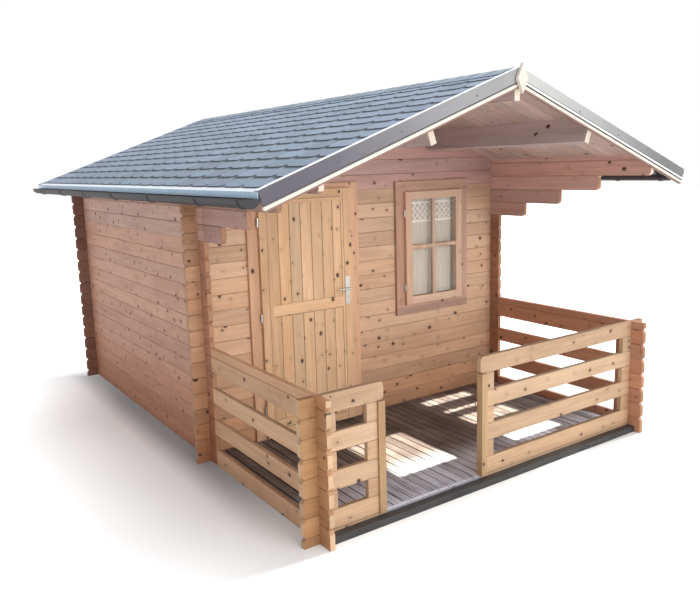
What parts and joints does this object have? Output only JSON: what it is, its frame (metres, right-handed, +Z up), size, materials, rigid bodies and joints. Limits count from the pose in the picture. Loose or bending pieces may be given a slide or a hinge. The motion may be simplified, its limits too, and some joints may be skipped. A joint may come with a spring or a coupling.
{
  "type": "garden house",
  "caption": "Small log garden house with a gabled shingle roof carried out over a railed terrace, a boarded front door on hinges with a lever handle, and a curtained front window.",
  "frame": {"origin": "on the ground, on the house's centre line, under the middle of the front wall", "axes": "+X to the right along the front, +Y to the back, +Z up"},
  "size_m": [3.9284, 4.942, 2.7775],
  "materials": {
    "pine_logs": "oiled pine, knotty, honey to reddish brown",
    "pine_beams": "planed pine, untreated",
    "pine_trim": "planed pine, oiled",
    "pine_door": "planed pine, clear glaze",
    "deck_wood": "ribbed deck boards, dark oiled",
    "dark_sill": "dark stained beam",
    "shingles": "bitumen shingles with blue-grey granules",
    "zinc_trim": "folded sheet metal, pale grey",
    "dark_gutter": "anthracite, satin",
    "bright_steel": "satin zinc and nickel",
    "window_glass": "clear",
    "net_curtain": "white net with a lace band"
  },
  "bodies": {
    "house": {"left_wall": "pine_logs", "right_wall": "pine_logs", "left_eave_logs": "pine_logs", "right_eave_logs": "pine_logs", "front_wall_left": "pine_logs", "front_wall_right": "pine_logs", "front_gable": "pine_logs", "back_wall": "pine_logs", "back_gable": "pine_logs", "ridge_purlin": "pine_beams", "mid_purlins": "pine_beams", "left_roof_boards": "pine_beams", "right_roof_boards": "pine_beams", "left_shingles": "shingles", "right_shingles": "shingles", "ridge_cap": "shingles", "left_verge_boards": "pine_trim", "right_verge_boards": "pine_trim", "left_verge_flashings": "zinc_trim", "right_verge_flashings": "zinc_trim", "eave_flashings": "zinc_trim", "gutters": "dark_gutter", "gutter_brackets": "dark_gutter", "ridge_plate": "pine_trim", "terrace_deck": "deck_wood", "cabin_floor": "pine_beams", "bearers": "deck_wood", "terrace_sill": "dark_sill", "left_railing": "pine_logs", "right_railing": "pine_logs", "front_left_railing": "pine_logs", "front_right_railing": "pine_logs", "gate_posts": "pine_trim", "door_left_jamb": "pine_trim", "door_right_jamb": "pine_trim", "door_head": "pine_trim", "door_threshold": "deck_wood", "hinge_pins": "bright_steel", "window_frame": "pine_trim", "window_sash": "pine_door", "window_glass": "window_glass", "net_curtain": "net_curtain"},
    "door": {"door_leaf": "pine_door", "hinge_barrels": "bright_steel", "handle_plates": "bright_steel"},
    "handle": {"door_lever": "bright_steel"}
  },
  "joints": [
    {"name": "door_hinge", "type": "hinge", "parent": "house", "child": "door", "pos_m": [-1.035, -0.061, 1.041], "axis": [0, 0, -1], "range_deg": [0, 110]},
    {"name": "lever_turn", "type": "hinge", "parent": "door", "child": "handle", "pos_m": [-0.2345, -0.047, 1.19], "axis": [0, -1, 0], "range_deg": [0, 40], "stiffness_Nm_per_rad": 1.5}
  ]
}
